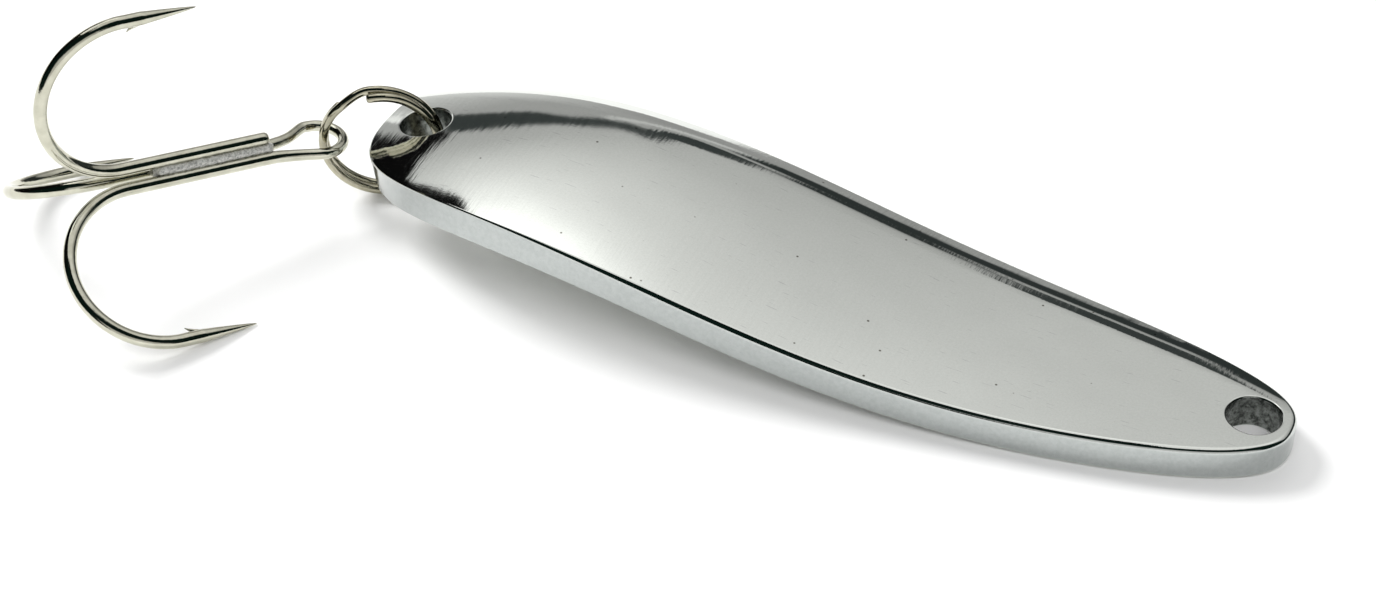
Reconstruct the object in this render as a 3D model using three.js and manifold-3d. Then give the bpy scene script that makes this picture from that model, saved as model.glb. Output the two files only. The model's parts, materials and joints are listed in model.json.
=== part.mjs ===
// Spoon lure: a stamped, plated spoon with a split ring and a brazed treble hook.
// Millimetres, +Z up. The spoon lies along X with its line-tie end at +X, and the hook
// trails towards -X and -Y. The origin is the bottom centre of the whole lure's box.

import * as THREE from 'three';
import { mergeVertices } from 'three/addons/utils/BufferGeometryUtils.js';
import Module from 'manifold-3d';

const wasm = await Module();
wasm.setup();

// ---------------------------------------------------------------- driving dimensions

const SPOON = {
  length: 64,
  halfWidth: 8.95,
  widestAt: 0.414, // share of the length from the tail
  tail: { power: 2.2, bluntness: 3.3 }, // outline on each side of the widest place
  nose: { power: 1.7, bluntness: 2.4 },
  tipHalfWidth: 0.8,
  thickness: 2.4,
  crown: 0.75, // how far the long edges curl down at the tail
  crownEnd: 0.8, // share of the length where the plate has become flat across
  sectionReach: 0.9, // the cross-section keeps some width where the outline closes
  bevelSlope: 0.32, // the upper face falls away towards its +Y edge
  bevelWidth: 2.4,
  bevelBlend: 1,
  holeRadius: 1.75,
  tailHoleFromEnd: 3,
  noseHoleFromEnd: 2.6,
};

// Height of the upper face along the middle of the spoon: a hump behind, then a long
// slope down to the flat land around the line-tie hole.
const SPOON_SPINE = [
  [-32, 5.55],
  [-28.2, 6.7],
  [-21.1, 7.35],
  [-9.6, 6.25],
  [3.2, 3.85],
  [12.8, 2.7],
  [19.2, 2.4],
  [32, 2.4],
];
const LAND_FROM = 19.2; // from here to the tip the plate is flat and level

const RING = {
  wire: 0.62,
  pitchRadius: 3.95,
  coilSpacing: 0.66,
  centre: new THREE.Vector3(-32, -0.95, 4.56),
  yaw: THREE.MathUtils.degToRad(25), // the ring stands askew in the hole
  crossoverAt: THREE.MathUtils.degToRad(118), // seen from -Y, counted from +X towards +Z
  crossoverHalf: THREE.MathUtils.degToRad(13),
  endGap: THREE.MathUtils.degToRad(17), // from the crossover's middle to each free end
};

const HOOK = {
  wire: 0.9,
  shankOffset: 0.78, // from the treble's axis to each shank's centre
  shankEnd: 14.4, // from the ring's wire to the start of the bend
  bendRadius: 5.6,
  bendTurn: THREE.MathUtils.degToRad(182),
  pointLength: 4.75,
  taperLength: 3.55, // the ground end of the point
  pointTip: 0.05,
  barbFrom: 0.95, // barb's root, past the end of the bend
  barbLength: 0.95,
  barbRise: 0.8, // barb tip above the wire's centre line
  barbRadius: 0.22,
  eyeRadius: 1.75,
  eyeShift: 0.4, // the eye's centre lies this far behind the ring's wire
  eyeSide: 0.2, // and this far to the +Y side of the shanks' middle
  eyeStart: 4.7, // where the two shanks start to part and form the eye
  singleStart: 4.2, // cut end of the single hook
};

const BRAZE = { from: 4.1, to: 12.3, radius: 0.72, clearance: 0.05 };

const TREBLE_YAW = THREE.MathUtils.degToRad(31); // from the ring's plane
const TREBLE_PITCH = THREE.MathUtils.degToRad(-7);
const THIRD = (2 * Math.PI) / 3;

// ---------------------------------------------------------------- materials

const chrome = new THREE.MeshStandardMaterial({ color: 0xd2d6d6, roughness: 0.06, metalness: 1 });
const ringNickel = new THREE.MeshStandardMaterial({ color: 0xa9a696, roughness: 0.16, metalness: 1 });
const hookNickel = new THREE.MeshStandardMaterial({ color: 0xc9c3b2, roughness: 0.12, metalness: 1 });
const solder = new THREE.MeshStandardMaterial({ color: 0xa3a39c, roughness: 0.5, metalness: 0.9 });

// ---------------------------------------------------------------- solids

// A closed three.js geometry as a manifold solid.
function toSolid(geometry) {
  const bare = geometry.index ? geometry.clone() : geometry;
  bare.deleteAttribute('normal');
  bare.deleteAttribute('uv');
  const merged = mergeVertices(bare, 1e-5);
  return new wasm.Manifold(
    new wasm.Mesh({
      numProp: 3,
      vertProperties: new Float32Array(merged.attributes.position.array),
      triVerts: new Uint32Array(merged.index.array),
    }),
  );
}

function toGeometry(solid) {
  const mesh = solid.getMesh();
  const geometry = new THREE.BufferGeometry();
  geometry.setAttribute('position', new THREE.BufferAttribute(mesh.vertProperties, 3));
  geometry.setIndex(new THREE.BufferAttribute(mesh.triVerts, 1));
  geometry.computeVertexNormals();
  return geometry;
}

// A round bar from one point to another; the second end may taper.
function bar(from, to, radius, endRadius = radius, sides = 24) {
  const along = new THREE.Vector3().subVectors(to, from);
  const geometry = new THREE.CylinderGeometry(endRadius, radius, along.length(), sides);
  geometry.translate(0, along.length() / 2, 0);
  const turn = new THREE.Quaternion();
  turn.setFromUnitVectors(new THREE.Vector3(0, 1, 0), along.normalize());
  geometry.applyQuaternion(turn);
  geometry.translate(from.x, from.y, from.z);
  return geometry;
}

// Round wire along a list of points.
function wire(points, diameter, steps, sides = 8) {
  const section = new THREE.Shape();
  for (let i = 0; i < sides; i++) {
    const angle = (2 * Math.PI * i) / sides;
    const x = (diameter / 2) * Math.cos(angle);
    const y = (diameter / 2) * Math.sin(angle);
    if (i === 0) section.moveTo(x, y);
    else section.lineTo(x, y);
  }
  section.closePath();
  const path = new THREE.CatmullRomCurve3(points, false, 'centripetal');
  path.arcLengthDivisions = 4 * steps;
  return new THREE.ExtrudeGeometry(section, { steps, extrudePath: path, curveSegments: 1 });
}

// ---------------------------------------------------------------- spoon

const spine = new THREE.CatmullRomCurve3(
  SPOON_SPINE.map(([x, z]) => new THREE.Vector3(x, 0, z)),
  false,
  'centripetal',
);

// Half the spoon's width at a place along its length. A reach under 1 gives a wider
// curve that doesn't close at the ends.
function spoonHalfWidth(x, fullReach = 1) {
  const share = x / SPOON.length + 0.5;
  const { widestAt, tail, nose } = SPOON;
  const end = share < widestAt ? tail : nose;
  const reach = share < widestAt ? (widestAt - share) / widestAt : (share - widestAt) / (1 - widestAt);
  const rounded = 1 - Math.min(fullReach * reach, 1) ** end.power;
  return Math.max(SPOON.tipHalfWidth, SPOON.halfWidth * rounded ** (1 / end.bluntness));
}

// How far the plate lies below its middle at a place across it.
function spoonCrown(x, y) {
  const share = x / SPOON.length + 0.5;
  const curl = SPOON.crown * Math.max(0, 1 - share / SPOON.crownEnd);
  return curl * (y / spoonHalfWidth(x, SPOON.sectionReach)) ** 2;
}

// How far the upper face is cut down towards its +Y edge: none, then a rounded turn, then
// an even slope.
function spoonBevel(x, y) {
  const { sectionReach, bevelSlope, bevelWidth, bevelBlend } = SPOON;
  const inside = y - spoonHalfWidth(x, sectionReach) + bevelWidth;
  if (inside > bevelBlend) return bevelSlope * inside;
  return (bevelSlope * Math.max(0, inside + bevelBlend) ** 2) / (4 * bevelBlend);
}

// A point on the middle of the upper face, and the plate's direction outwards there.
function plateAt(t) {
  const point = spine.getPoint(t);
  if (point.x >= LAND_FROM) {
    point.z = SPOON.thickness;
    return { point, normal: new THREE.Vector3(0, 0, 1) };
  }
  const along = spine.getTangent(t);
  return { point, normal: new THREE.Vector3(-along.z, 0, along.x) };
}

// The spine's parameter at a given x, by halving.
function spineAt(x) {
  let low = 0;
  let high = 1;
  for (let i = 0; i < 40; i++) {
    const middle = (low + high) / 2;
    if (spine.getPoint(middle).x < x) low = middle;
    else high = middle;
  }
  return (low + high) / 2;
}

// A punched hole, square to the plate.
function punch(x) {
  const { point, normal } = plateAt(spineAt(x));
  normal.multiplyScalar(2 * SPOON.thickness);
  const above = point.clone().add(normal);
  const below = point.clone().sub(normal);
  return toSolid(bar(below, above, SPOON.holeRadius, SPOON.holeRadius, 32));
}

function spoonBody() {
  const stations = 56;
  const across = 18;
  const plate = new THREE.BoxGeometry(1, 1, 1, stations, across, 1);
  const position = plate.attributes.position;
  for (let i = 0; i < position.count; i++) {
    const t = 0.5 - 0.5 * Math.cos(Math.PI * (position.getX(i) + 0.5));
    const side = 2 * position.getY(i);
    const under = position.getZ(i) < 0;
    const { point, normal } = plateAt(t);
    const y = side * spoonHalfWidth(point.x);
    point.z -= spoonCrown(point.x, y);
    if (under) point.addScaledVector(normal, -SPOON.thickness);
    else point.z -= spoonBevel(point.x, y);
    position.setXYZ(i, point.x, y, point.z);
  }
  const tailHole = punch(-SPOON.length / 2 + SPOON.tailHoleFromEnd);
  const noseHole = punch(SPOON.length / 2 - SPOON.noseHoleFromEnd);
  return toGeometry(toSolid(plate).subtract(tailHole).subtract(noseHole));
}

// ---------------------------------------------------------------- split ring

// Two flat coils side by side, joined by one short crossover.
function splitRing() {
  const steps = 88;
  const { crossoverAt, crossoverHalf, endGap, pitchRadius, coilSpacing } = RING;
  const from = crossoverAt - 2 * Math.PI + endGap;
  const to = crossoverAt + 2 * Math.PI - endGap;
  const points = [];
  for (let i = 0; i <= steps; i++) {
    const angle = from + ((to - from) * i) / steps;
    const cross = THREE.MathUtils.smoothstep(
      angle,
      crossoverAt - crossoverHalf,
      crossoverAt + crossoverHalf,
    );
    points.push(
      new THREE.Vector3(
        pitchRadius * Math.cos(angle),
        coilSpacing * (0.5 - cross),
        pitchRadius * Math.sin(angle),
      ),
    );
  }
  return wire(points, RING.wire, steps);
}

// ---------------------------------------------------------------- treble hook
// The treble has a frame of its own: the ring's wire crosses its origin, the shanks run
// towards -X, and the hooks stand at thirds of a turn around the axis, the first one up.

// A point of the treble: how far along it, and how far out from its axis at an angle.
function around(x, out, angle) {
  const axisHeight = HOOK.shankOffset / 2;
  return new THREE.Vector3(x, out * Math.sin(angle), axisHeight + out * Math.cos(angle));
}

// Centre line of one hook from the start of its shank to the start of its point.
function hookLine(angle, start) {
  const { shankEnd, shankOffset, bendRadius, bendTurn } = HOOK;
  const points = [];
  for (let i = 0; i <= 12; i++) {
    const x = -start - ((shankEnd - start) * i) / 12;
    points.push(around(x, shankOffset, angle));
  }
  for (let i = 1; i <= 24; i++) {
    const turned = (bendTurn * i) / 24;
    const x = -shankEnd - bendRadius * Math.sin(turned);
    const out = shankOffset + bendRadius * (1 - Math.cos(turned));
    points.push(around(x, out, angle));
  }
  return points;
}

// The tapered point and its barb, which lies on the side that faces the shank.
function hookPoint(angle, line) {
  const root = line[line.length - 1];
  const along = new THREE.Vector3().subVectors(root, line[line.length - 2]).normalize();
  const inward = around(0, -1, angle).sub(around(0, 0, angle));
  const overlap = root.clone().addScaledVector(along, -0.1);
  const tip = root.clone().addScaledVector(along, HOOK.pointLength);
  const shoulder = tip.clone().addScaledVector(along, -HOOK.taperLength);
  const straight = toSolid(bar(overlap, shoulder, HOOK.wire / 2, HOOK.wire / 2, 8));
  const taper = toSolid(bar(shoulder, tip, HOOK.wire / 2, HOOK.pointTip, 8));
  const point = straight.add(taper);
  const barbRoot = root.clone().addScaledVector(inward, HOOK.wire / 4);
  barbRoot.addScaledVector(along, HOOK.barbFrom);
  const barbTip = barbRoot.clone().addScaledVector(along, -HOOK.barbLength);
  barbTip.addScaledVector(inward, HOOK.barbRise - HOOK.wire / 4);
  return point.add(toSolid(bar(barbRoot, barbTip, HOOK.barbRadius, 0.03, 6)));
}

// The eye's centre line, from one shank to the other around the ring's wire.
function eyeLine() {
  const { eyeRadius, eyeShift, eyeSide, eyeStart, shankOffset } = HOOK;
  const shankY = shankOffset * Math.sin(THIRD);
  const loopFrom = THREE.MathUtils.degToRad(-105);
  const loop = [];
  for (let i = 0; i <= 14; i++) {
    const angle = loopFrom * (1 - i / 7);
    const x = -eyeShift + eyeRadius * Math.cos(angle);
    loop.push(new THREE.Vector3(x, eyeSide + eyeRadius * Math.sin(angle), 0));
  }
  const neck = [
    new THREE.Vector3(-0.8 * eyeStart, 1.1 * shankY, 0),
    new THREE.Vector3(-0.48 * eyeStart, 1.6 * shankY, 0),
  ];
  const mirrored = neck.map((p) => new THREE.Vector3(p.x, -p.y, 0));
  return [...mirrored, ...loop, ...neck.reverse()];
}

function doubleHook() {
  const near = hookLine(-THIRD, HOOK.eyeStart);
  const far = hookLine(THIRD, HOOK.eyeStart);
  const points = [...near.slice().reverse(), ...eyeLine(), ...far];
  const body = toSolid(wire(points, HOOK.wire, 170));
  return toGeometry(body.add(hookPoint(-THIRD, near)).add(hookPoint(THIRD, far)));
}

function singleHook() {
  const line = hookLine(0, HOOK.singleStart);
  return toGeometry(toSolid(wire(line, HOOK.wire, 60)).add(hookPoint(0, line)));
}

// Brazing metal that fills the space between the three shanks.
function brazedCore() {
  const { from, to, radius, clearance } = BRAZE;
  const shankRoom = HOOK.wire / 2 + clearance;
  let core = toSolid(bar(around(-from, 0, 0), around(-to, 0, 0), radius));
  for (const angle of [0, THIRD, -THIRD]) {
    const start = around(-from + 1, HOOK.shankOffset, angle);
    const end = around(-to - 1, HOOK.shankOffset, angle);
    core = core.subtract(toSolid(bar(start, end, shankRoom)));
  }
  return toGeometry(core);
}

// ---------------------------------------------------------------- assembly

function named(name, geometry, material) {
  const mesh = new THREE.Mesh(geometry, material);
  mesh.name = name;
  return mesh;
}

const treble = new THREE.Group();
treble.add(named('double_hook', doubleHook(), hookNickel));
treble.add(named('single_hook', singleHook(), hookNickel));
treble.add(named('brazed_core', brazedCore(), solder));
treble.position.set(-RING.pitchRadius, 0, 0);
treble.rotation.set(0, -TREBLE_PITCH, TREBLE_YAW, 'ZYX');

const links = new THREE.Group();
links.add(named('split_ring', splitRing(), ringNickel));
links.add(treble);
links.position.copy(RING.centre);
links.rotation.z = RING.yaw;

const parts = new THREE.Group();
parts.add(named('spoon_body', spoonBody(), chrome));
parts.add(links);

const lure = new THREE.Group();
lure.add(parts);
lure.updateMatrixWorld(true);
const box = new THREE.Box3().setFromObject(lure, true);
const centre = box.getCenter(new THREE.Vector3());
parts.position.set(-centre.x, -centre.y, -box.min.z);

export default lure;
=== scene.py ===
"""Looks of the spoon lure: a mirror-plated spoon, a split ring and a brazed treble hook.

Sizes are in millimetres and are turned into metres where a mesh is made. The spoon has a
frame of its own, centred on the plate and standing on the floor, and the treble has one
at the ring's wire, with its shanks towards -X and the first hook up.
"""

import json
import math

import bpy
import numpy as np
from mathutils import Euler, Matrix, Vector, noise
from mathutils.geometry import delaunay_2d_cdt


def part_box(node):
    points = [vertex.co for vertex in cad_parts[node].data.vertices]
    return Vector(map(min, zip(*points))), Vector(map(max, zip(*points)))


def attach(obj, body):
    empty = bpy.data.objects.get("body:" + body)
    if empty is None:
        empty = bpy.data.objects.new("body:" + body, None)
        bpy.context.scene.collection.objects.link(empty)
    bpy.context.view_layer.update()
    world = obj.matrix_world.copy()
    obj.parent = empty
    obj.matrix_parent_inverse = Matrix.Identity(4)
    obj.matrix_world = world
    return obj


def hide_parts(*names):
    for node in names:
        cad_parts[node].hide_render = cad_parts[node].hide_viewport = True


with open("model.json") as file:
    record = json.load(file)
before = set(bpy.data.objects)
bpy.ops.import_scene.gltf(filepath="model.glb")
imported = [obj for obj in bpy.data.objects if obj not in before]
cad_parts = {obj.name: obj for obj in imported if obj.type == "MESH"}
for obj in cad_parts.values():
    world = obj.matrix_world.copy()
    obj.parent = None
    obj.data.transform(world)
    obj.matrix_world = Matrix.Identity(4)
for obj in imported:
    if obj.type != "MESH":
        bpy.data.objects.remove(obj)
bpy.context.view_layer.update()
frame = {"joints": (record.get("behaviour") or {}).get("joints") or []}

MM = 0.001

# ---------------------------------------------------------------- sizes, in millimetres

# the plate's outline: its widest place is a share of the length from the tail
SPOON_LENGTH = 64.0
SPOON_HALF_WIDTH = 8.95
SPOON_WIDEST = 0.414
TAIL_POWER, TAIL_BLUNTNESS = 2.2, 3.3
NOSE_POWER, NOSE_BLUNTNESS = 1.7, 2.4
HOLE_RADIUS = 1.75
TAIL_HOLE_X = -SPOON_LENGTH / 2 + 3.0
NOSE_HOLE_X = SPOON_LENGTH / 2 - 2.6

# the plate's section: the long edges curl down at the tail, and less and less as far as
# SPOON_CROWN_END, a share of the length, and the upper face slopes down along +Y
SPOON_THICKNESS = 2.4
SPOON_CROWN = 0.75
SPOON_CROWN_END = 0.8
SPOON_CROWN_BLEND = 0.12
SECTION_REACH = 0.9
BEVEL_SLOPE = 0.32
BEVEL_WIDTH = 2.4
BEVEL_BLEND = 1.0

# how round the plate's edges are: the near one's radius grows from the tail's between
# two places along X, and the far one's takes over between two shares of facing away
TAIL_EDGE_RADIUS = 0.14
NEAR_EDGE_RADIUS = 0.36
NEAR_EDGE_GROWS = (-24, -6)
FAR_EDGE_RADIUS = 0.4
FAR_EDGE_TAKES_OVER = (-0.1, 0.5)
FAR_EDGE_LEAN = 0.7
HOLE_EDGE_RADIUS = 0.12

# the height of the upper face along the middle
SPINE = [
    (-32, 5.9),
    (-28.2, 6.63),
    (-21.1, 7.32),
    (-9.6, 6.29),
    (3.2, 3.87),
    (12.8, 2.7),
    (19.2, 2.42),
    (25, 2.4),
    (32, 2.4),
]

# the plate's mesh: ROW_SHARE is the height of an equal-sided triangle by its side
MESH_SPACING = 0.5
MESH_MARGIN = 0.55 * MESH_SPACING
ROW_SHARE = 0.866
OUTLINE_FINE_POINTS = 2400
OUTLINE_POINTS = 460
HOLE_POINTS = 72
EDGE_STEPS = 6

# the ring's two coils cross over once, and its sprung ends lie a little in and apart
RING_WIRE = 0.62
RING_PITCH_RADIUS = 3.95
RING_YAW = math.radians(25)
RING_COIL_SPACING = 0.66
RING_CROSSOVER = math.radians(118)
RING_CROSSOVER_HALF = math.radians(16)
RING_END_GAP = math.radians(17)
RING_END_SHARE = 0.82
RING_SPRUNG_ARC = math.radians(40)
RING_SPRUNG_IN = 0.16
RING_SPRUNG_APART = 0.12
RING_STEPS = 420

HOOK_WIRE = 0.9
HOOK_STEP = 0.16
SHANK_POINTS, BEND_POINTS, TIP_POINTS, EYE_POINTS = 12, 30, 16, 15
SHANK_OFFSET = 0.78
SHANK_END = 14.4
BEND_RADIUS = 5.6
BEND_TURN = math.radians(182)
POINT_LENGTH = 4.75
TAPER_LENGTH = 3.55
TAPER_SHOULDER = 0.96
TAPER_POWER = 0.8
POINT_TIP = 0.03
SINGLE_START = 4.2
SINGLE_END_SHARES = (0.8, 0.97)

# the eye: its loop turns this many degrees each way, the points of its necks are shares
# of EYE_START and of the shanks' distance from the middle, and its wire is thinner there
EYE_RADIUS = 1.75
EYE_SHIFT = 0.4
EYE_SIDE = 0.2
EYE_TURN = 105
EYE_START = 4.7
EYE_NECK = [(-0.48, 1.6), (-0.8, 1.1)]
EYE_THINNED = 0.14
EYE_THIN_WITHIN = (1.8, 4.5)

# the barb's middle line: along the point, and in towards the shank
BARB_LINE = [(1.2, 0.22), (0.85, 0.33), (0.5, 0.48), (0.2, 0.64), (0.0, 0.80)]
BARB_RADIUS = 0.19
BARB_TIP = 0.012
BARB_POWER = 0.7
BARB_WIDTH = 1.25
BARB_STEP = 0.06

# the brazing: its lumps are waves per millimetre and heights
BRAZE_FROM = 3.9
BRAZE_TO = 12.3
BRAZE_RADIUS = 0.61
BRAZE_GROOVE = 0.19
BRAZE_LUMPS = [(2.6, 0.07), (7.0, 0.03)]
BRAZE_RAGGED = 0.25
BRAZE_END_SHARE = 0.35
BRAZE_ROWS = 150
BRAZE_END_ROWS = 6
BRAZE_SIDES = 96

TREBLE_YAW = math.radians(56)
TREBLE_PITCH = math.radians(-7)
THIRD = 2 * math.pi / 3

CAMERA_AZIMUTH = math.radians(25.6)
CAMERA_ELEVATION = math.radians(39.4)
CAMERA_DISTANCE = 197.8
CAMERA_AIM = (-8.24, -2.41, 0)
CAMERA_LENS = 78.5
CAMERA_SENSOR = 36
TABLE_HALF = 900

# ---------------------------------------------------------------- colours, dark and light

CHROME = (0.715, 0.735, 0.695), (0.755, 0.775, 0.735)
CHROME_HAIRLINE = (0.60, 0.61, 0.59)
CHROME_SPECK = (0.16, 0.15, 0.13)
# the cut edge's colour: duller plating, darkened further as painted shade for the shaded floor
# it reflects
CUT_EDGE_DULL_AND_SHADED = (0.45, 0.475, 0.465), (0.50, 0.525, 0.515)
# the hole walls' colour: painted shade, dark where the inside of the holes falls into shade
HOLE_WALL_SHADE = (0.06, 0.065, 0.06), (0.30, 0.32, 0.30)
RING_NICKEL = (0.35, 0.33, 0.245), (0.52, 0.495, 0.385)
HOOK_NICKEL = (0.50, 0.49, 0.395), (0.65, 0.64, 0.535)
BRAZE = (0.34, 0.34, 0.32), (0.80, 0.80, 0.76)
TABLE = (0.90, 0.90, 0.90), (0.92, 0.92, 0.915)

SEAM_DARK = (0.045, 0.052, 0.052)
ROOM_DARK = (0.032, 0.038, 0.038)
ROOM_BLACK = (0.004, 0.011, 0.009)
BLACK = (0.004, 0.004, 0.004)

# ---------------------------------------------------------------- places, from the frame

joints = {joint["name"]: joint for joint in frame["joints"]}
spoon_low, spoon_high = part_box("spoon_body")
SPOON_CENTRE = np.array(
    [(spoon_low.x + spoon_high.x) / 2, (spoon_low.y + spoon_high.y) / 2, 0.0]
)
RING_CENTRE = np.array(joints["ring_turn"]["pos_m"], float)
EYE_PLACE = np.array(joints["hook_swing"]["pos_m"], float)


# ---------------------------------------------------------------- mesh helpers


def add_mesh(name, points, faces, material, normals=None):
    """A smooth mesh object from points in metres."""
    mesh = bpy.data.meshes.new(name)
    mesh.from_pydata([tuple(p) for p in points], [], [tuple(f) for f in faces])
    mesh.validate()
    mesh.update()
    mesh.shade_smooth()
    if normals is not None:
        mesh.normals_split_custom_set_from_vertices([tuple(n) for n in normals])
    mesh.materials.append(material)
    piece = bpy.data.objects.new(name, mesh)
    bpy.context.scene.collection.objects.link(piece)
    return piece


def unit(v):
    return v / np.maximum(np.linalg.norm(v, axis=-1, keepdims=True), 1e-12)


def smoothstep(value, low, high):
    share = np.clip((value - low) / (high - low), 0, 1)
    return share * share * (3 - 2 * share)


def soft_ramp(value, blend):
    """Zero below, the value itself above, and a rounded turn between."""
    return np.where(value > blend, value, np.maximum(value + blend, 0) ** 2 / (4 * blend))


def sweep(path, radii, side_axis, sides=28, width=1.0):
    """A closed tube along a path. width is its share of the radius along side_axis."""
    path = np.asarray(path, float)
    count = len(path)
    tangents = unit(np.gradient(path, axis=0))
    across = np.array(side_axis, float)
    across = unit(across - tangents[0] * (across @ tangents[0]))
    points = []
    for i in range(count):
        across = unit(across - tangents[i] * (across @ tangents[i]))
        other = np.cross(tangents[i], across)
        for k in range(sides):
            angle = 2 * math.pi * k / sides
            offset = width * math.cos(angle) * across + math.sin(angle) * other
            points.append(path[i] + radii[i] * offset)
    faces = []
    for i in range(count - 1):
        for k in range(sides):
            a = i * sides + k
            b = i * sides + (k + 1) % sides
            faces.append((a, b, b + sides, a + sides))
    for end in (0, count - 1):
        centre = len(points)
        points.append(path[end])
        for k in range(sides):
            a = end * sides + k
            b = end * sides + (k + 1) % sides
            faces.append((centre, b, a) if end == 0 else (centre, a, b))
    return np.array(points), faces


def resample(path, step):
    """The same path with its points an even step apart, and how far along each one is."""
    path = np.asarray(path, float)
    lengths = np.r_[0, np.cumsum(np.linalg.norm(np.diff(path, axis=0), axis=1))]
    count = max(2, int(round(lengths[-1] / step)) + 1)
    places = np.linspace(0, lengths[-1], count)
    return np.stack([np.interp(places, lengths, path[:, k]) for k in range(3)], -1), places


def rounded_curve(path, step):
    """A smooth curve through the path's points (Catmull-Rom), a fine step apart."""
    path = np.asarray(path, float)
    padded = np.vstack([2 * path[0] - path[1], path, 2 * path[-1] - path[-2]])
    fine = []
    for i in range(1, len(padded) - 2):
        p0, p1, p2, p3 = padded[i - 1 : i + 3]
        for t in np.linspace(0, 1, 8, endpoint=False):
            square = (2 * p0 - 5 * p1 + 4 * p2 - p3) * t**2
            cube = (3 * p1 - p0 - 3 * p2 + p3) * t**3
            fine.append(0.5 * (2 * p1 + (p2 - p0) * t + square + cube))
    fine.append(path[-1])
    return resample(fine, step)


def merge(parts):
    """One mesh's points and faces from several."""
    points, faces = [], []
    total = 0
    for some_points, some_faces in parts:
        points.append(some_points)
        faces += [tuple(i + total for i in f) for f in some_faces]
        total += len(some_points)
    return np.vstack(points), faces


# ---------------------------------------------------------------- material helpers


class Graph:
    """A short way to write a node tree."""

    def __init__(self, tree):
        self.tree = tree
        self.tree.nodes.clear()

    def node(self, kind, **settings):
        made = self.tree.nodes.new(kind)
        for key, value in settings.items():
            setattr(made, key, value)
        return made

    def link(self, source, target):
        self.tree.links.new(source, target)

    def feed(self, node, name, value):
        if isinstance(value, bpy.types.NodeSocket):
            self.link(value, node.inputs[name])
        else:
            node.inputs[name].default_value = value

    def math(self, operation, a, b=0.0):
        made = self.node("ShaderNodeMath", operation=operation)
        self.feed(made, 0, a)
        self.feed(made, 1, b)
        return made.outputs[0]

    def step(self, value, low, high):
        """0 below low, 1 above high, and a soft turn between; low may be above high."""
        made = self.node("ShaderNodeMapRange", interpolation_type="SMOOTHSTEP")
        self.feed(made, "Value", value)
        self.feed(made, "From Min", low)
        self.feed(made, "From Max", high)
        return made.outputs["Result"]

    def line(self, value, slope, start):
        """start + slope * value"""
        return self.math("ADD", self.math("MULTIPLY", value, slope), start)

    def product(self, *values):
        total = values[0]
        for value in values[1:]:
            total = self.math("MULTIPLY", total, value)
        return total

    def along(self, vector, way):
        made = self.node("ShaderNodeVectorMath", operation="DOT_PRODUCT")
        self.link(vector, made.inputs[0])
        made.inputs[1].default_value = way
        return made.outputs["Value"]

    def ramp(self, value, stops):
        """Greys along a value: each stop is a place and a tone."""
        made = self.node("ShaderNodeValToRGB")
        elements = made.color_ramp.elements
        while len(elements) < len(stops):
            elements.new(0.5)
        for element, (place, tone) in zip(elements, stops):
            element.position = place
            element.color = (tone, tone, tone, 1)
        self.link(value, made.inputs[0])
        return made.outputs[0]

    def mapped(self, vector, scale, turn=0.0):
        """The vector scaled, and turned about Z."""
        made = self.node("ShaderNodeMapping")
        made.inputs["Scale"].default_value = scale
        made.inputs["Rotation"].default_value = (0, 0, turn)
        self.link(vector, made.inputs["Vector"])
        return made.outputs[0]

    def noise(self, vector, scale, detail, roughness):
        made = self.node("ShaderNodeTexNoise")
        made.inputs["Scale"].default_value = scale
        made.inputs["Detail"].default_value = detail
        made.inputs["Roughness"].default_value = roughness
        self.link(vector, made.inputs["Vector"])
        return made.outputs["Fac"]

    def mix(self, share, a, b):
        made = self.node("ShaderNodeMix", data_type="RGBA")
        self.feed(made, 0, share)
        for index, value in ((6, a), (7, b)):
            if isinstance(value, bpy.types.NodeSocket):
                self.link(value, made.inputs[index])
            else:
                made.inputs[index].default_value = (*value, 1)
        return made.outputs[2]

    def patches(self, value, low, high, colours):
        """The first colour where the value is below low, and the second above high."""
        return self.mix(self.ramp(value, [(low, 0.0), (high, 1.0)]), *colours)

    def bump(self, height, distance, strength=1.0, below=None):
        """A bump with its distance in millimetres, on top of the one below."""
        made = self.node("ShaderNodeBump")
        made.inputs["Strength"].default_value = strength
        made.inputs["Distance"].default_value = distance * MM
        self.link(height, made.inputs["Height"])
        if below is not None:
            self.link(below, made.inputs["Normal"])
        return made.outputs[0]


def new_material(name):
    """A material, its graph, its shader, and places on the piece in millimetres."""
    material = bpy.data.materials.new(name)
    material.use_nodes = True
    graph = Graph(material.node_tree)
    shader = graph.node("ShaderNodeBsdfPrincipled")
    output = graph.node("ShaderNodeOutputMaterial")
    graph.link(shader.outputs[0], output.inputs[0])
    place = graph.node("ShaderNodeTexCoord").outputs["Object"]
    return material, graph, shader, graph.mapped(place, (1 / MM, 1 / MM, 1 / MM))


# ---------------------------------------------------------------- materials


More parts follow.
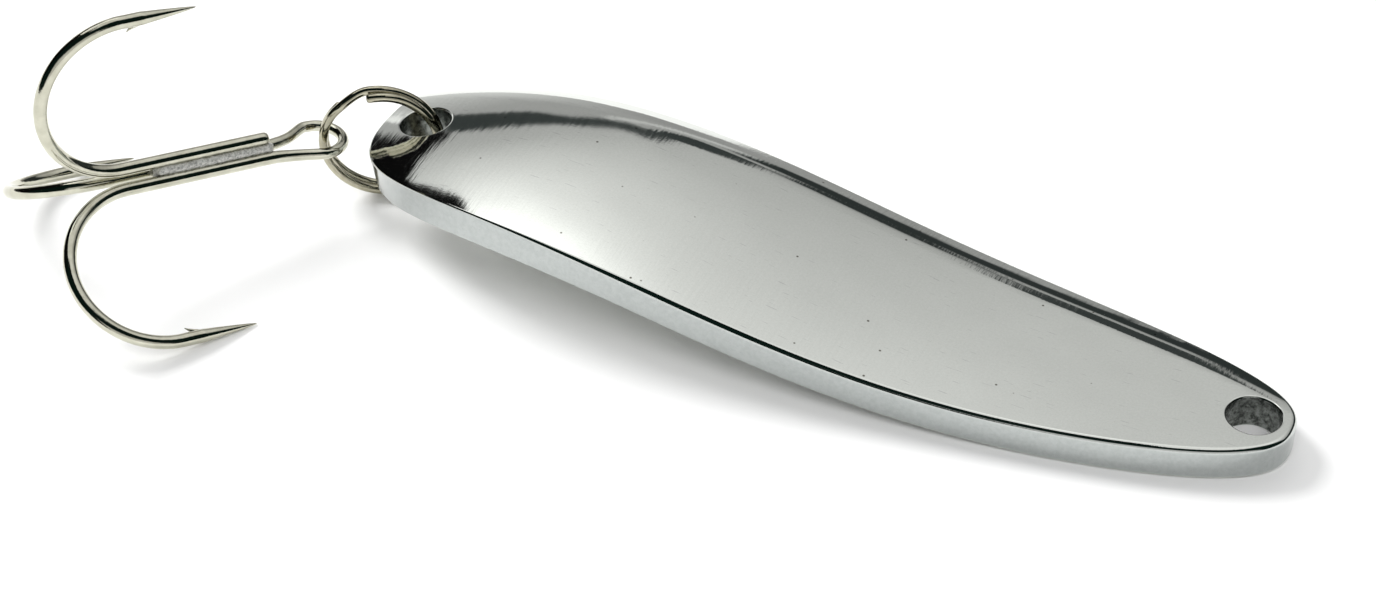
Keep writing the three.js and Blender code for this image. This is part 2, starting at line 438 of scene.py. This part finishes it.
def chrome_material():
    """Bright plating with cross buffing marks, a faint wave, specks and hairlines. It is
    duller on the cut edge, which is also darkened there as painted shade, and painted shade
    darkens the inside of the two holes most."""
    material, graph, shader, place = new_material("mirror_plating")
    shader.inputs["Metallic"].default_value = 1.0
    buffing = graph.noise(graph.mapped(place, (3.2, 0.22, 0.5), 0.25), 1.0, 3, 0.62)
    wave = graph.noise(place, 0.16, 1, 0.4)
    grain = graph.noise(place, 7.0, 2, 0.6)
    mottle = graph.noise(place, 3.0, 4, 0.65)
    hair = graph.noise(graph.mapped(place, (0.7, 9.0, 1.0), 0.9), 1.0, 1, 0.5)
    hairline = graph.ramp(hair, [(0.72, 0.0), (0.76, 1.0)])
    speck_cells = graph.node("ShaderNodeTexVoronoi", feature="F1")
    speck_cells.inputs["Scale"].default_value = 0.55
    graph.link(place, speck_cells.inputs["Vector"])
    speck = graph.ramp(speck_cells.outputs["Distance"], [(0.03, 1.0), (0.06, 0.0)])
    edge = graph.node("ShaderNodeAttribute", attribute_name="cut_edge").outputs["Fac"]
    bore = graph.node("ShaderNodeAttribute", attribute_name="hole_wall").outputs["Fac"]

    colour = graph.patches(grain, 0.35, 0.75, CHROME)
    colour = graph.mix(hairline, colour, CHROME_HAIRLINE)
    colour = graph.mix(speck, colour, CHROME_SPECK)
    # painted shade: the cut edge's duller colour is also darkened to stand in for the shaded
    # floor it reflects
    colour = graph.mix(edge, colour, graph.patches(mottle, 0.38, 0.62, CUT_EDGE_DULL_AND_SHADED))
    # painted shade: the hole walls are darkened to stand in for the shade inside the holes
    colour = graph.mix(bore, colour, graph.patches(mottle, 0.38, 0.62, HOLE_WALL_SHADE))
    graph.link(colour, shader.inputs["Base Color"])

    roughness = graph.line(buffing, 0.05, 0.02)
    roughness = graph.math("ADD", roughness, graph.math("MULTIPLY", edge, 0.08))
    roughness = graph.math("ADD", roughness, graph.math("MULTIPLY", bore, 0.2))
    graph.link(roughness, shader.inputs["Roughness"])
    normal = graph.bump(wave, 0.08, strength=0.5)
    normal = graph.bump(buffing, 0.004, below=normal)
    normal = graph.bump(grain, 0.0006, below=normal)
    graph.link(normal, shader.inputs["Normal"])
    return material


def nickel_material(name, colours, rough, drawn):
    """Drawn, plated wire: fine marks, small colour changes and a little tarnish."""
    material, graph, shader, place = new_material(name)
    shader.inputs["Metallic"].default_value = 1.0
    tarnish = graph.noise(place, 0.8, 3, 0.6)
    marks = graph.noise(place, 9.0, 3, 0.65)
    graph.link(graph.patches(tarnish, 0.3, 0.7, colours), shader.inputs["Base Color"])
    graph.link(graph.line(marks, 0.10, rough), shader.inputs["Roughness"])
    normal = graph.bump(graph.noise(place, 2.2, 2, 0.5), drawn)
    normal = graph.bump(marks, 0.0015, below=normal)
    graph.link(normal, shader.inputs["Normal"])
    return material


def braze_material():
    """Cast-looking brazing metal, grey with bright high spots."""
    material, graph, shader, place = new_material("brazing_metal")
    shader.inputs["Metallic"].default_value = 0.6
    lumps = graph.noise(place, 5.5, 4, 0.7)
    fine = graph.noise(place, 18.0, 2, 0.6)
    graph.link(graph.patches(lumps, 0.33, 0.56, BRAZE), shader.inputs["Base Color"])
    graph.link(graph.line(fine, 0.25, 0.28), shader.inputs["Roughness"])
    normal = graph.bump(lumps, 0.08)
    normal = graph.bump(fine, 0.01, below=normal)
    graph.link(normal, shader.inputs["Normal"])
    return material


def floor_material():
    """A white table top, not quite even in tone."""
    material, graph, shader, place = new_material("white_table")
    shader.inputs["Roughness"].default_value = 0.6
    tone = graph.noise(place, 0.02, 2, 0.5)
    graph.link(graph.patches(tone, 0.3, 0.7, TABLE), shader.inputs["Base Color"])
    return material


# ---------------------------------------------------------------- the plate's shape


def natural_spline(points):
    """A curvature-continuous height through the points, and its slope."""
    xs, zs = (np.array(v, float) for v in zip(*points))
    h = np.diff(xs)
    count = len(xs)
    system = np.eye(count)
    right = np.zeros(count)
    for i in range(1, count - 1):
        system[i, i - 1 : i + 2] = h[i - 1], 2 * (h[i - 1] + h[i]), h[i]
        right[i] = 6 * ((zs[i + 1] - zs[i]) / h[i] - (zs[i] - zs[i - 1]) / h[i - 1])
    bend = np.linalg.solve(system, right)

    def within(x):
        """The stretch that x is in, and the shares of its two ends."""
        i = np.clip(np.searchsorted(xs, x) - 1, 0, count - 2)
        return i, (xs[i + 1] - x) / h[i], (x - xs[i]) / h[i]

    def height(x):
        i, a, b = within(x)
        curved = ((a**3 - a) * bend[i] + (b**3 - b) * bend[i + 1]) * h[i] ** 2 / 6
        return a * zs[i] + b * zs[i + 1] + curved

    def slope(x):
        i, a, b = within(x)
        curved = ((3 * b**2 - 1) * bend[i + 1] - (3 * a**2 - 1) * bend[i]) * h[i] / 6
        return (zs[i + 1] - zs[i]) / h[i] + curved

    return height, slope


spine_height, spine_slope = natural_spline(SPINE)


def spine_normal(x):
    slope = spine_slope(x)
    return unit(np.stack([-slope, 0 * slope, 1 + 0 * slope], -1))


def half_width(x, reach=1.0):
    """Half the outline's width. A reach under 1 doesn't close at the ends."""
    share = np.clip(x / SPOON_LENGTH + 0.5, 0, 1)
    behind = reach * np.clip((SPOON_WIDEST - share) / SPOON_WIDEST, 0, 1)
    ahead = reach * np.clip((share - SPOON_WIDEST) / (1 - SPOON_WIDEST), 0, 1)
    tail = (1 - behind**TAIL_POWER) ** (1 / TAIL_BLUNTNESS)
    nose = (1 - ahead**NOSE_POWER) ** (1 / NOSE_BLUNTNESS)
    return SPOON_HALF_WIDTH * np.where(share < SPOON_WIDEST, tail, nose)


def crown_drop(x, y):
    share = x / SPOON_LENGTH + 0.5
    curl = SPOON_CROWN * soft_ramp(1 - share / SPOON_CROWN_END, SPOON_CROWN_BLEND)
    return curl * (y / half_width(x, SECTION_REACH)) ** 2


def bevel_drop(x, y):
    inside = y - half_width(x, SECTION_REACH) + BEVEL_WIDTH
    return BEVEL_SLOPE * soft_ramp(inside, BEVEL_BLEND)


def upper_face(x, y):
    return np.stack([x, y, spine_height(x) - crown_drop(x, y) - bevel_drop(x, y)], -1)


def lower_face(x, y):
    top = np.stack([x, y, spine_height(x) - crown_drop(x, y)], -1)
    return top - SPOON_THICKNESS * spine_normal(x)


def upward(face, x, y):
    """The upward way off one of the two faces."""
    step = 1e-3
    along = face(x + step, y) - face(x - step, y)
    across = face(x, y + step) - face(x, y - step)
    return unit(np.cross(along, across))


def outline_loop():
    """Points an even step apart around the spoon's outline, and the way out of it."""
    theta = np.linspace(0, math.pi, OUTLINE_FINE_POINTS)
    x = SPOON_LENGTH * (-0.5 * np.cos(theta))
    y = half_width(x)
    loop = np.vstack([np.stack([x, -y], -1), np.stack([x[::-1], y[::-1]], -1)[1:-1]])
    closed = np.vstack([loop, loop[:1]])
    lengths = np.r_[0, np.cumsum(np.linalg.norm(np.diff(closed, axis=0), axis=1))]
    places = np.linspace(0, lengths[-1], OUTLINE_POINTS, endpoint=False)
    even = np.stack([np.interp(places, lengths, closed[:, k]) for k in (0, 1)], -1)
    tangent = unit(np.roll(even, -1, 0) - np.roll(even, 1, 0))
    return even, np.stack([tangent[:, 1], -tangent[:, 0]], -1)


def hole_loop(centre_x):
    """Points around a hole, and the way out of the metal into it."""
    angle = np.linspace(0, 2 * math.pi, HOLE_POINTS, endpoint=False)
    ring = np.stack([np.cos(angle), np.sin(angle)], -1)
    return np.array([centre_x, 0.0]) + HOLE_RADIUS * ring, -ring


def outline_radius(rim, outward):
    """How round the outline's edge is: sharpest at the tail's tip and near side, and
    roundest along the far side and round the nose."""
    facing = outward[:, 1] + FAR_EDGE_LEAN * outward[:, 0]
    far = smoothstep(facing, *FAR_EDGE_TAKES_OVER)[:, None]
    ahead = smoothstep(rim[:, 0], *NEAR_EDGE_GROWS)[:, None]
    near_radius = TAIL_EDGE_RADIUS + (NEAR_EDGE_RADIUS - TAIL_EDGE_RADIUS) * ahead
    return near_radius + (FAR_EDGE_RADIUS - near_radius) * far


def plate_rims():
    """The outline and then the holes, each as points, the ways out of the metal, and
    the radius of the edge there."""
    rim, outward = outline_loop()
    rims = [(rim, outward, outline_radius(rim, outward))]
    for x in (TAIL_HOLE_X, NOSE_HOLE_X):
        rims.append((*hole_loop(x), np.full((HOLE_POINTS, 1), HOLE_EDGE_RADIUS)))
    return rims


# ---------------------------------------------------------------- spoon


def inside_polygon(points, polygon):
    """Which points lie inside a closed loop of points."""
    inside = np.zeros(len(points), bool)
    for (ax, ay), (bx, by) in zip(polygon, np.roll(polygon, -1, 0)):
        crosses = (ay > points[:, 1]) != (by > points[:, 1])
        if ay != by:
            x = ax + (points[:, 1] - ay) * (bx - ax) / (by - ay)
            inside ^= crosses & (points[:, 0] < x)
    return inside


def on_plate(points, border):
    """Which points lie inside the border and outside both holes."""
    keep = inside_polygon(points, border)
    for x in (TAIL_HOLE_X, NOSE_HOLE_X):
        keep &= np.hypot(points[:, 0] - x, points[:, 1]) > HOLE_RADIUS + HOLE_EDGE_RADIUS
    return keep


def plan_mesh(rims):
    """A face's places and triangles, seen from above, and the place indices of its
    borders, which lie in from the rims by the radius of the edge."""
    borders = [rim - radius * outward for rim, outward, radius in rims]
    loops, edges = [], []
    for border in borders:
        loop = list(range(len(edges), len(edges) + len(border)))
        loops.append(loop)
        edges += zip(loop, loop[1:] + loop[:1])
    boundary = np.vstack(borders)
    row_height = MESH_SPACING * ROW_SHARE
    rows = int(SPOON_HALF_WIDTH / row_height) + 1
    grid = np.array(
        [
            (x + (MESH_SPACING / 2 if row % 2 else 0), row * row_height)
            for row in range(-rows, rows + 1)
            for x in np.arange(-SPOON_LENGTH / 2, SPOON_LENGTH / 2, MESH_SPACING)
        ]
    )
    gap = np.array([np.min(np.hypot(*(boundary - place).T)) for place in grid])
    grid = grid[on_plate(grid, borders[0]) & (gap > MESH_MARGIN)]

    plan = [Vector(place) for place in np.vstack([boundary, grid])]
    places, _, triangles, sources, _, _ = delaunay_2d_cdt(plan, edges, [], 0, 1e-6)
    places = np.array([tuple(place) for place in places])
    index = {ids[0]: new for new, ids in enumerate(sources)}
    centres = np.array([places[list(f)].mean(0) for f in triangles])
    kept = [tuple(f) for f, good in zip(triangles, on_plate(centres, borders[0])) if good]
    return places, kept, [[index[i] for i in loop] for loop in loops]


def edge_row(rim, outward, radius, angle, face, sign):
    """One row of points on a rounded edge, and their normals. The angle turns from 0 on
    the face to a right angle on the upright wall, and the sign is -1 on the lower face."""
    place = rim - radius * (1 - math.sin(angle)) * outward
    x, y = place[:, 0], place[:, 1]
    depth = radius * (1 - math.cos(angle))
    up = upward(face, x, y)
    side = np.concatenate([outward, np.zeros((len(rim), 1))], 1)
    side = unit(side - up * (side * up).sum(1, keepdims=True))
    normals = sign * math.cos(angle) * up + math.sin(angle) * side
    return face(x, y) - sign * depth * spine_normal(x), normals


def make_spoon():
    """A mesh of the two faces, and rows of faces round the outline and each hole."""
    rims = plate_rims()
    places, triangles, borders = plan_mesh(rims)
    total = len(places)
    x, y = places[:, 0], places[:, 1]
    points = [upper_face(x, y), lower_face(x, y)]
    normals = [upward(upper_face, x, y), -upward(lower_face, x, y)]
    on_edge, in_hole = [np.zeros(2 * total)], [np.zeros(2 * total)]
    faces = triangles + [tuple(i + total for i in reversed(f)) for f in triangles]

    turns = np.linspace(0, math.pi / 2, EDGE_STEPS + 1)[1:]
    rows = [(angle, upper_face, 1) for angle in turns]
    rows += [(angle, lower_face, -1) for angle in turns[::-1]]
    next_index = 2 * total
    for number, ((rim, outward, radius), border) in enumerate(zip(rims, borders)):
        is_hole = number > 0
        count = len(rim)
        loops = [border]
        for angle, face, sign in rows:
            row_points, row_normals = edge_row(rim, outward, radius, angle, face, sign)
            points.append(row_points)
            normals.append(row_normals)
            # 1 on the upright wall, and 0 from a little way round the edge
            upright = np.full(count, max(0.0, math.sin(angle) * 5 - 4))
            on_edge.append(0 * upright if is_hole else upright)
            in_hole.append(upright if is_hole else 0 * upright)
            loops.append([next_index + i for i in range(count)])
            next_index += count
        loops.append([i + total for i in border])
        for upper, lower in zip(loops[:-1], loops[1:]):
            for i in range(count):
                j = (i + 1) % count
                quad = (upper[i], lower[i], lower[j], upper[j])
                faces.append(tuple(reversed(quad)) if is_hole else quad)

    points = np.vstack(points) * MM + SPOON_CENTRE
    spoon = add_mesh("spoon", points, faces, chrome_material(), unit(np.vstack(normals)))
    # these marks pick out the cut edge and the hole walls, where the plating takes its painted
    # shade
    for name, values in (("cut_edge", on_edge), ("hole_wall", in_hole)):
        marks = spoon.data.attributes.new(name, "FLOAT", "POINT")
        marks.data.foreach_set("value", np.concatenate(values))
    return spoon


# ---------------------------------------------------------------- split ring


def make_ring():
    start = RING_CROSSOVER - 2 * math.pi + RING_END_GAP
    end = RING_CROSSOVER + 2 * math.pi - RING_END_GAP
    angle = np.linspace(start, end, RING_STEPS)
    crossed = smoothstep(
        angle, RING_CROSSOVER - RING_CROSSOVER_HALF, RING_CROSSOVER + RING_CROSSOVER_HALF
    )
    from_end = np.minimum(angle - start, end - angle)
    sprung = 1 - smoothstep(from_end, 0, RING_SPRUNG_ARC)
    radius = RING_PITCH_RADIUS - RING_SPRUNG_IN * sprung
    y = RING_COIL_SPACING * (0.5 - crossed) * (1 + RING_SPRUNG_APART * sprung)
    path = np.stack([radius * np.cos(angle), y, radius * np.sin(angle)], -1)
    radii = np.full(len(path), RING_WIRE / 2)
    radii[[0, -1]] *= RING_END_SHARE
    points, faces = sweep(path, radii, (0, 1, 0))
    metal = nickel_material("ring_nickel_plating", RING_NICKEL, rough=0.06, drawn=0.006)
    turn = np.array(Euler((0, 0, RING_YAW)).to_matrix())
    return add_mesh("split_ring_wire", points @ turn.T * MM + RING_CENTRE, faces, metal)


# ---------------------------------------------------------------- treble hook

TREBLE_TURN = np.array(Euler((0, -TREBLE_PITCH, TREBLE_YAW), "XYZ").to_matrix())


def treble_place(points):
    """Points of the treble's own frame, in metres in the lure's."""
    return np.asarray(points) @ TREBLE_TURN.T * MM + EYE_PLACE


def around(x, out, angle):
    """A point this far out from the treble's middle line, at an angle from straight up."""
    height = SHANK_OFFSET / 2
    return np.array([x, out * math.sin(angle), height + out * math.cos(angle)])


def hook_line(angle, start):
    """The middle of one hook's wire, down its shank and round its bend."""
    line = [around(x, SHANK_OFFSET, angle) for x in -np.linspace(start, SHANK_END, SHANK_POINTS)]
    for turned in np.linspace(0, BEND_TURN, BEND_POINTS)[1:]:
        x = -SHANK_END - BEND_RADIUS * math.sin(turned)
        line.append(around(x, SHANK_OFFSET + BEND_RADIUS * (1 - math.cos(turned)), angle))
    return line


def point_line(line):
    """The straight stretch that goes on from a hook's bend to its tip."""
    root = line[-1]
    along = unit(root - line[-2])
    shares = np.linspace(0, 1, TIP_POINTS)[1:]
    return [root + along * POINT_LENGTH * share for share in shares]


def point_radius(from_tip):
    """A long needle taper with a slight shoulder where the grinding starts."""
    share = np.clip(from_tip / TAPER_LENGTH, 0, 1)
    shoulder = TAPER_SHOULDER * HOOK_WIRE / 2
    taper = POINT_TIP + (shoulder - POINT_TIP) * share**TAPER_POWER
    return np.where(from_tip > TAPER_LENGTH, HOOK_WIRE / 2, taper)


def eye_line():
    """The middle of the wire round the eye and down its necks, from the -Y shank."""
    shank_y = SHANK_OFFSET * math.sin(THIRD)
    loop = []
    for a in np.radians(np.linspace(-EYE_TURN, EYE_TURN, EYE_POINTS)):
        x = -EYE_SHIFT + EYE_RADIUS * math.cos(a)
        loop.append(np.array([x, EYE_SIDE + EYE_RADIUS * math.sin(a), 0.0]))
    neck = [np.array([x * EYE_START, y * shank_y, 0.0]) for x, y in EYE_NECK]
    mirrored = [p * np.array([1, -1, 1]) for p in neck]
    return [*mirrored[::-1], *loop, *neck]


def barb(angle, line):
    """A sliver cut from the wire and lifted, on the side that faces the shank."""
    root = line[-1]
    along = unit(root - line[-2])
    inward = around(0, -1, angle) - around(0, 0, angle)
    spine = [root + along * forward + inward * lift for forward, lift in BARB_LINE]
    path, places = rounded_curve(spine, BARB_STEP)
    share = places / places[-1]
    radii = BARB_RADIUS * (1 - share) ** BARB_POWER + BARB_TIP
    return sweep(path, radii, np.cross(along, inward), sides=16, width=BARB_WIDTH)


def make_double_hook(metal):
    near = hook_line(-THIRD, EYE_START)
    far = hook_line(THIRD, EYE_START)
    line = [*point_line(near)[::-1], *near[::-1], *eye_line(), *far, *point_line(far)]
    path, places = rounded_curve(line, HOOK_STEP)
    from_tip = np.minimum(places, places[-1] - places)
    from_eye = np.linalg.norm(path - np.array([-EYE_SHIFT, EYE_SIDE, 0]), axis=1)
    thinned = EYE_THINNED * (1 - smoothstep(from_eye, *EYE_THIN_WITHIN))
    body = sweep(path, point_radius(from_tip) * (1 - thinned), (0, 0, 1))
    points, faces = merge([body, barb(-THIRD, near), barb(THIRD, far)])
    return add_mesh("double_hook_wire", treble_place(points), faces, metal)


def make_single_hook(metal):
    line = hook_line(0, SINGLE_START)
    path, places = rounded_curve([*line, *point_line(line)], HOOK_STEP)
    radii = point_radius(places[-1] - places)
    radii[:2] *= SINGLE_END_SHARES
    points, faces = merge([sweep(path, radii, (0, 1, 0)), barb(0, line)])
    return add_mesh("single_hook_wire", treble_place(points), faces, metal)


def make_braze():
    """Brazing metal that has run into the grooves between the shanks and set there."""
    points = []
    for row, x in enumerate(np.linspace(-BRAZE_FROM, -BRAZE_TO, BRAZE_ROWS)):
        from_end = min(row, BRAZE_ROWS - 1 - row) / BRAZE_END_ROWS
        closing = math.sqrt(1 - (1 - min(from_end, 1)) ** 2)
        for k in range(BRAZE_SIDES):
            theta = 2 * math.pi * k / BRAZE_SIDES
            radius = BRAZE_RADIUS - BRAZE_GROOVE * math.cos(3 * theta)
            p = around(x, radius, theta)
            lump = sum(noise.noise(Vector(p) * waves) * rise for waves, rise in BRAZE_LUMPS)
            where = Vector((7.0, 3 * math.cos(theta), 3 * math.sin(theta)))
            ragged = BRAZE_RAGGED * noise.noise(where)
            share = BRAZE_END_SHARE + (1 - BRAZE_END_SHARE) * closing
            points.append(around(x + ragged, (radius + lump) * share, theta))
    faces = []
    for row in range(BRAZE_ROWS - 1):
        for k in range(BRAZE_SIDES):
            a, b = row * BRAZE_SIDES + k, row * BRAZE_SIDES + (k + 1) % BRAZE_SIDES
            faces.append((a, a + BRAZE_SIDES, b + BRAZE_SIDES, b))
    faces.append(tuple(range(BRAZE_SIDES)))
    faces.append(tuple(len(points) - 1 - k for k in range(BRAZE_SIDES)))
    return add_mesh("brazing", treble_place(points), faces, braze_material())


# ---------------------------------------------------------------- pieces

hook_metal = nickel_material("hook_nickel_plating", HOOK_NICKEL, rough=0.05, drawn=0.008)
for piece, body, node, slot in (
    (make_spoon(), "spoon", "spoon_body", "spoon_chrome"),
    (make_ring(), "ring", "split_ring", "ring_nickel"),
    (make_double_hook(hook_metal), "treble", "double_hook", "hook_nickel"),
    (make_single_hook(hook_metal), "treble", "single_hook", "hook_nickel"),
    (make_braze(), "treble", "brazed_core", "braze"),
):
    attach(piece, body)
    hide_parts(node)

# ---------------------------------------------------------------- table

half = TABLE_HALF * MM
corners = [(-half, -half, 0), (half, -half, 0), (half, half, 0), (-half, half, 0)]
add_mesh("table", corners, [(0, 1, 2, 3)], floor_material())

# ---------------------------------------------------------------- what the mirror sees

# Angles here are in degrees: azimuth is counted from the far side to the right, and
# elevation from the table up.


def grey(tone):
    return (tone, tone, tone)


def ceiling(graph, azimuth, elevation):
    """A pale ceiling that brightens upwards, and sooner on the left."""
    spread = graph.node("ShaderNodeMapRange")
    graph.feed(spread, "Value", azimuth)
    for name, value in (("From Min", -16), ("From Max", 22), ("To Min", 1.4), ("To Max", 0.56)):
        graph.feed(spread, name, value)
    height = graph.product(graph.line(elevation, 1, -30), spread.outputs["Result"], 1 / 40)
    tones = [(0.0, 0.47), (0.1, 0.52), (0.2, 0.65), (0.28, 0.76), (0.36, 0.86)]
    tones += [(0.43, 0.98), (0.5, 1.15), (0.58, 1.4), (0.75, 1.9)]
    return graph.mix(graph.step(elevation, 57, 64), graph.ramp(height, tones), grey(0.9))


def pale_wall(graph, azimuth, elevation):
    """The wall under the ceiling, with a bright slanting edge on its right."""
    height = graph.math("MULTIPLY", elevation, 1 / 25)
    left = graph.ramp(height, [(0.0, 0.82), (0.45, 0.68), (0.9, 0.42)])
    right = graph.ramp(height, [(0.0, 0.36), (0.3, 0.34), (0.7, 0.40)])
    wall = graph.mix(graph.step(azimuth, -9, 9), left, right)
    from_edge = graph.math("SUBTRACT", elevation, graph.line(azimuth, -2.0, 38.5))
    edge = graph.product(
        graph.step(graph.math("ABSOLUTE", from_edge), 5.0, 1.0),
        graph.step(azimuth, 1, 5),
        graph.step(azimuth, 17, 14),
    )
    wall = graph.mix(edge, wall, grey(0.60))
    return graph.mix(graph.step(azimuth, -14, -18), wall, grey(1.05))


def wall_and_ceiling(graph, azimuth, elevation):
    """The two, and a dark seam where they meet. The seam climbs and narrows to the
    right, and past the middle it drops and broadens again."""
    to_right = graph.step(azimuth, 7.5, 12.5)
    seam = graph.line(azimuth, 0.375, 30.55)
    lowered = graph.product(to_right, graph.line(seam, 1, -28.5))
    over = graph.math("SUBTRACT", elevation, graph.math("SUBTRACT", seam, lowered))
    left_of_thin = graph.math("MAXIMUM", graph.line(azimuth, -1, 8), 0.0)
    narrowing = graph.line(graph.math("POWER", left_of_thin, 2), 0.006, 0.85)
    broad = graph.product(to_right, graph.step(azimuth, 18.5, 16.5), 5.2)
    seam_half = graph.math("ADD", narrowing, broad)
    past_seam = graph.math("SUBTRACT", graph.math("ABSOLUTE", over), seam_half)
    dark_seam = graph.product(
        graph.step(past_seam, 0.45, -0.45),
        graph.step(azimuth, 18, 16),
        graph.step(azimuth, -17, -14),
    )
    wall = pale_wall(graph, azimuth, elevation)
    seen = graph.mix(graph.step(over, -0.6, 0.6), wall, ceiling(graph, azimuth, elevation))
    return graph.mix(dark_seam, seen, SEAM_DARK)


def dark_stands(graph, azimuth, elevation):
    """Black stands on the left: a low one with a slanting top, and a high one with a
    slanting foot."""
    top = graph.math("ADD", elevation, graph.line(azimuth, 0.55, 0))
    foot = graph.math("SUBTRACT", elevation, graph.line(azimuth, 0.8, 58.3))
    low = graph.product(
        graph.step(azimuth, -14, -16),
        graph.step(elevation, 27.0, 28.0),
        graph.step(top, 22.2, 21.2),
    )
    high = graph.product(
        graph.step(azimuth, -17.5, -19.5),
        graph.step(foot, -0.3, 0.3),
        graph.step(elevation, 52, 50),
    )
    return low, high


def dark_room(graph, azimuth, elevation, ahead):
    """The dark room: low down on the right and far left, and high behind the camera."""
    low_right = graph.product(
        graph.step(azimuth, 13.5, 15),
        graph.step(elevation, 20, 17),
        graph.step(elevation, 4, 8),
    )
    far_right = graph.product(graph.step(azimuth, 16.5, 18.5), graph.step(elevation, 27, 24))
    right = graph.math("MAXIMUM", low_right, far_right)
    left = graph.product(graph.step(azimuth, -40, -46), graph.step(elevation, 34, 24))
    behind = graph.product(graph.step(ahead, 0.02, -0.12), graph.step(elevation, 74, 66))
    return right, left, behind


def make_world():
    """The studio round the lure, as the mirror shows it."""
    world = bpy.data.worlds.new("studio")
    bpy.context.scene.world = world
    world.use_nodes = True
    graph = Graph(world.node_tree)
    background = graph.node("ShaderNodeBackground")
    output = graph.node("ShaderNodeOutputWorld")
    graph.link(background.outputs[0], output.inputs[0])
    way = graph.node("ShaderNodeTexCoord").outputs["Generated"]
    ahead = graph.along(way, (-math.sin(CAMERA_AZIMUTH), math.cos(CAMERA_AZIMUTH), 0))
    right = graph.along(way, (math.cos(CAMERA_AZIMUTH), math.sin(CAMERA_AZIMUTH), 0))
    up = graph.along(way, (0, 0, 1))
    degree = math.degrees(1)
    azimuth = graph.math("MULTIPLY", graph.math("ARCTAN2", right, ahead), degree)
    elevation = graph.math("MULTIPLY", graph.math("ARCSINE", up), degree)

    seen = wall_and_ceiling(graph, azimuth, elevation)
    room_right, room_left, room_behind = dark_room(graph, azimuth, elevation, ahead)
    seen = graph.mix(room_right, seen, ROOM_DARK)
    for part in (*dark_stands(graph, azimuth, elevation), room_left):
        seen = graph.mix(part, seen, BLACK)
    seen = graph.mix(room_behind, seen, ROOM_BLACK)

    # a pale wall low down behind the camera, which lights up the mirror in views from behind
    back_wall = graph.product(
        graph.step(ahead, -0.72, -0.84),
        graph.step(right, -0.42, -0.3),
        graph.step(elevation, 34, 24),
    )
    back_tone = graph.ramp(graph.math("MULTIPLY", elevation, 1 / 34), [(0.0, 0.80), (1.0, 0.50)])
    seen = graph.mix(back_wall, seen, back_tone)
    graph.link(seen, background.inputs["Color"])
    background.inputs["Strength"].default_value = 1.0


# ---------------------------------------------------------------- lights and camera


def add_light(name, place, size, power):
    """A round lamp aimed at the lure, in metres and watts. The mirror doesn't show it."""
    light = bpy.data.lights.new(name, "AREA")
    light.shape = "DISK"
    light.size = size
    light.energy = power
    lamp = bpy.data.objects.new(name, light)
    lamp.location = place
    lamp.rotation_euler = (-Vector(place)).to_track_quat("-Z", "Y").to_euler()
    lamp.visible_glossy = False
    bpy.context.scene.collection.objects.link(lamp)


def make_camera():
    camera = bpy.data.objects.new("camera", bpy.data.cameras.new("camera"))
    back = Vector(
        (
            math.sin(CAMERA_AZIMUTH) * math.cos(CAMERA_ELEVATION),
            -math.cos(CAMERA_AZIMUTH) * math.cos(CAMERA_ELEVATION),
            math.sin(CAMERA_ELEVATION),
        )
    )
    target = Vector(SPOON_CENTRE + np.array(CAMERA_AIM) * MM)
    camera.location = target + back * (CAMERA_DISTANCE * MM)
    camera.rotation_mode = "QUATERNION"
    camera.rotation_quaternion = (-back).to_track_quat("-Z", "Y")
    camera.data.sensor_width = CAMERA_SENSOR
    camera.data.lens = CAMERA_LENS
    camera.data.clip_start = 0.005
    camera.data.clip_end = 20
    bpy.context.scene.collection.objects.link(camera)
    bpy.context.scene.camera = camera


make_world()
add_light("key", (-0.64, 0.20, 0.50), 0.40, 7.5)
add_light("fill", (0.25, -0.45, 0.75), 0.8, 5.2)
make_camera()
bpy.context.scene.view_settings.view_transform = "Standard"
